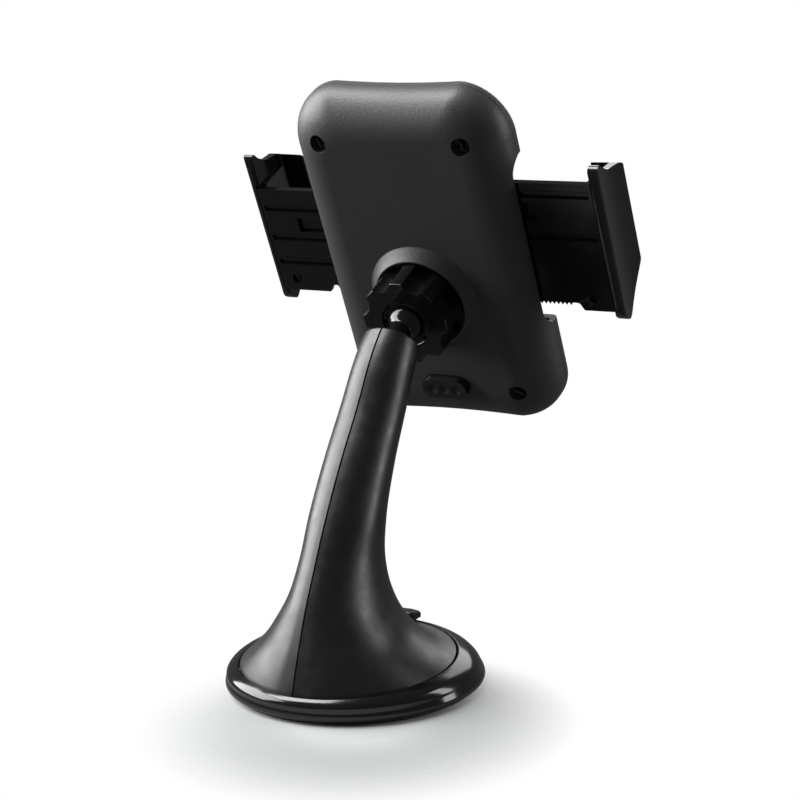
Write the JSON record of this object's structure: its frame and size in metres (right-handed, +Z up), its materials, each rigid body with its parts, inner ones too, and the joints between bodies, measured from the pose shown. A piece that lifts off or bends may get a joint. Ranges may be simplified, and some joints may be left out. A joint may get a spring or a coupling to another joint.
{
  "type": "car phone mount",
  "caption": "Suction car mount with a flared curved arm, ball joint with a lobed lock nut, and a cradle whose spring clamps hold a phone by its sides.",
  "frame": {"origin": "centre of the suction cup's flat face, where it meets the dashboard or windscreen", "axes": "+Z up from the suction face; the phone faces -Y and the arm's seam and the lobed nut face +Y; +X is the driver's right when facing the phone"},
  "size_m": [0.1314, 0.1343, 0.1897],
  "materials": {
    "rubber": "moulded, dull",
    "gloss_black": "polished",
    "satin_black": "satin",
    "charcoal": "fine spark-eroded texture",
    "inner_black": "plain moulded",
    "steel": "zinc plated",
    "black_screw": "black oxide",
    "acetal": "natural"
  },
  "bodies": {
    "base": {"suction_cup": "rubber", "return_spring": "steel", "base_ring": "gloss_black", "base_plate": "inner_black", "base_screws": "steel", "arm_shell_left": "satin_black", "arm_shell_right": "satin_black", "ball_stud": "gloss_black"},
    "cup_puller": {"cup_stud": "inner_black", "lever_pin": "steel"},
    "lever": {"suction_lever": "gloss_black"},
    "ball_liner": {"ball_liner": "inner_black"},
    "friction_pad": {"friction_pad": "rubber"},
    "cradle": {"ball_socket": "inner_black", "socket_screws": "steel", "rear_shell": "charcoal", "front_shell": "charcoal", "front_pad": "rubber", "shell_screws": "black_screw", "pinion_screw": "steel", "opening_spring": "steel", "lock_spring": "steel"},
    "lock_nut": {"lock_nut": "gloss_black"},
    "left_clamp": {"left_clamp": "gloss_black", "left_jaw_pad": "rubber"},
    "right_clamp": {"right_clamp": "gloss_black", "right_jaw_pad": "rubber"},
    "pinion": {"pinion": "acetal"},
    "lock_bar": {"lock_bar": "acetal"},
    "release_button": {"release_button": "satin_black"}
  },
  "joints": [
    {"name": "lever_hinge", "type": "hinge", "parent": "cup_puller", "child": "lever", "pos_m": [0, 0, 0.0167], "axis": [-1, 0, 0], "range_deg": [0, 45]},
    {"name": "cup_stud_slide", "type": "slide", "parent": "base", "child": "cup_puller", "axis": [0, 0, -1], "range_m": [0, 0.0016], "deforming": ["return_spring", "suction_cup"]},
    {"name": "ball_tilt", "type": "hinge", "parent": "base", "child": "ball_liner", "pos_m": [0, -0.043, 0.1108], "axis": [1, 0, 0], "range_deg": [-20, 20]},
    {"name": "ball_pan", "type": "hinge", "parent": "ball_liner", "child": "friction_pad", "pos_m": [0, -0.043, 0.1108], "axis": [0, 0.4004, 0.9164], "range_deg": [-20, 20]},
    {"name": "ball_spin", "type": "hinge", "parent": "friction_pad", "child": "cradle", "pos_m": [0, -0.043, 0.1108], "axis": [0, 0.9164, -0.4004], "continuous": true},
    {"name": "nut_turn", "type": "hinge", "parent": "cradle", "child": "lock_nut", "pos_m": [0, -0.05546, 0.11624], "axis": [0, 0.9164, -0.4004], "range_deg": [0, 180]},
    {"name": "left_clamp_slide", "type": "slide", "parent": "cradle", "child": "left_clamp", "axis": [1, 0, 0], "range_m": [0, 0.025]},
    {"name": "right_clamp_slide", "type": "slide", "parent": "cradle", "child": "right_clamp", "axis": [-1, 0, 0], "range_m": [0, 0.025]},
    {"name": "pinion_spin", "type": "hinge", "parent": "cradle", "child": "pinion", "pos_m": [0, -0.05622, 0.13949], "axis": [0, 0.9164, -0.4004], "range_deg": [0, 240]},
    {"name": "button_press", "type": "slide", "parent": "cradle", "child": "release_button", "axis": [0, -0.9164, 0.4004], "range_m": [0, 0.0015], "stiffness_N_per_m": 400},
    {"name": "lock_bar_slide", "type": "slide", "parent": "cradle", "child": "lock_bar", "axis": [0, -0.4004, -0.9164], "range_m": [0, 0.0015], "deforming": ["lock_spring"]}
  ],
  "couplings": [
    {"joint": "cup_stud_slide", "follows": "lever_hinge", "m_per_rad": 0.002037},
    {"joint": "right_clamp_slide", "follows": "left_clamp_slide", "ratio": 1},
    {"joint": "pinion_spin", "follows": "left_clamp_slide", "rad_per_m": 166.67},
    {"joint": "lock_bar_slide", "follows": "button_press", "ratio": 1}
  ]
}
